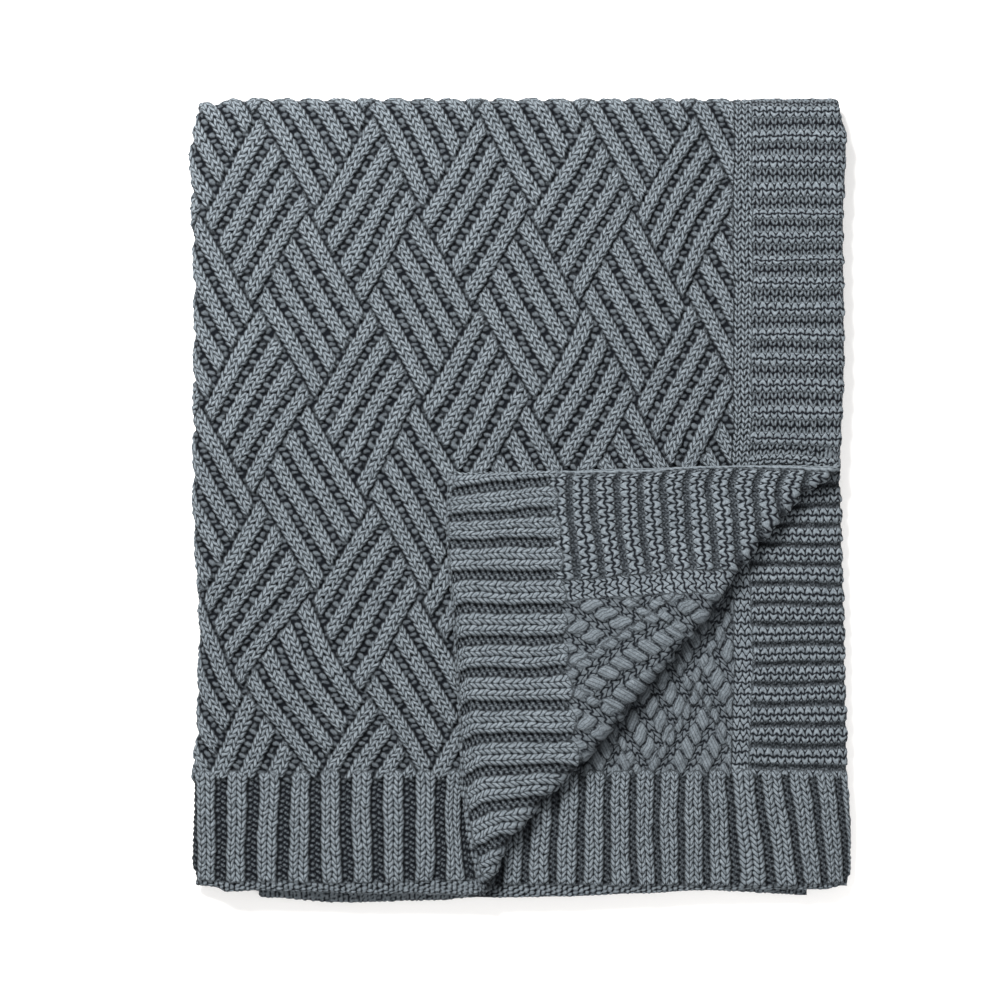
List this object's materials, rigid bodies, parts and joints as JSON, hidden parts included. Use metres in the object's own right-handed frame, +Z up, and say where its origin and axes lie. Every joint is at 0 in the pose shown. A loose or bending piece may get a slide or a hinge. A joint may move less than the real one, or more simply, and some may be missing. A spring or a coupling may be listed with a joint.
{
  "type": "folded knit bed throw",
  "caption": "Chunky cable-knit bed throw with ribbed hems and welted side borders, folded in quarters, one corner of the top layer turned back.",
  "frame": {"origin": "centre of the packet's footprint, on the surface that it lies on", "axes": "+Z up, out of the top layer's face; +Y towards the end fold; +X towards the free side edges"},
  "size_m": [0.6402, 0.7798, 0.0389],
  "materials": {
    "slate_cotton_knit": "matt, heathered, multi-ply knitting cotton"
  },
  "bodies": {
    "root": {"knit_throw": "slate_cotton_knit"}
  },
  "joints": []
}
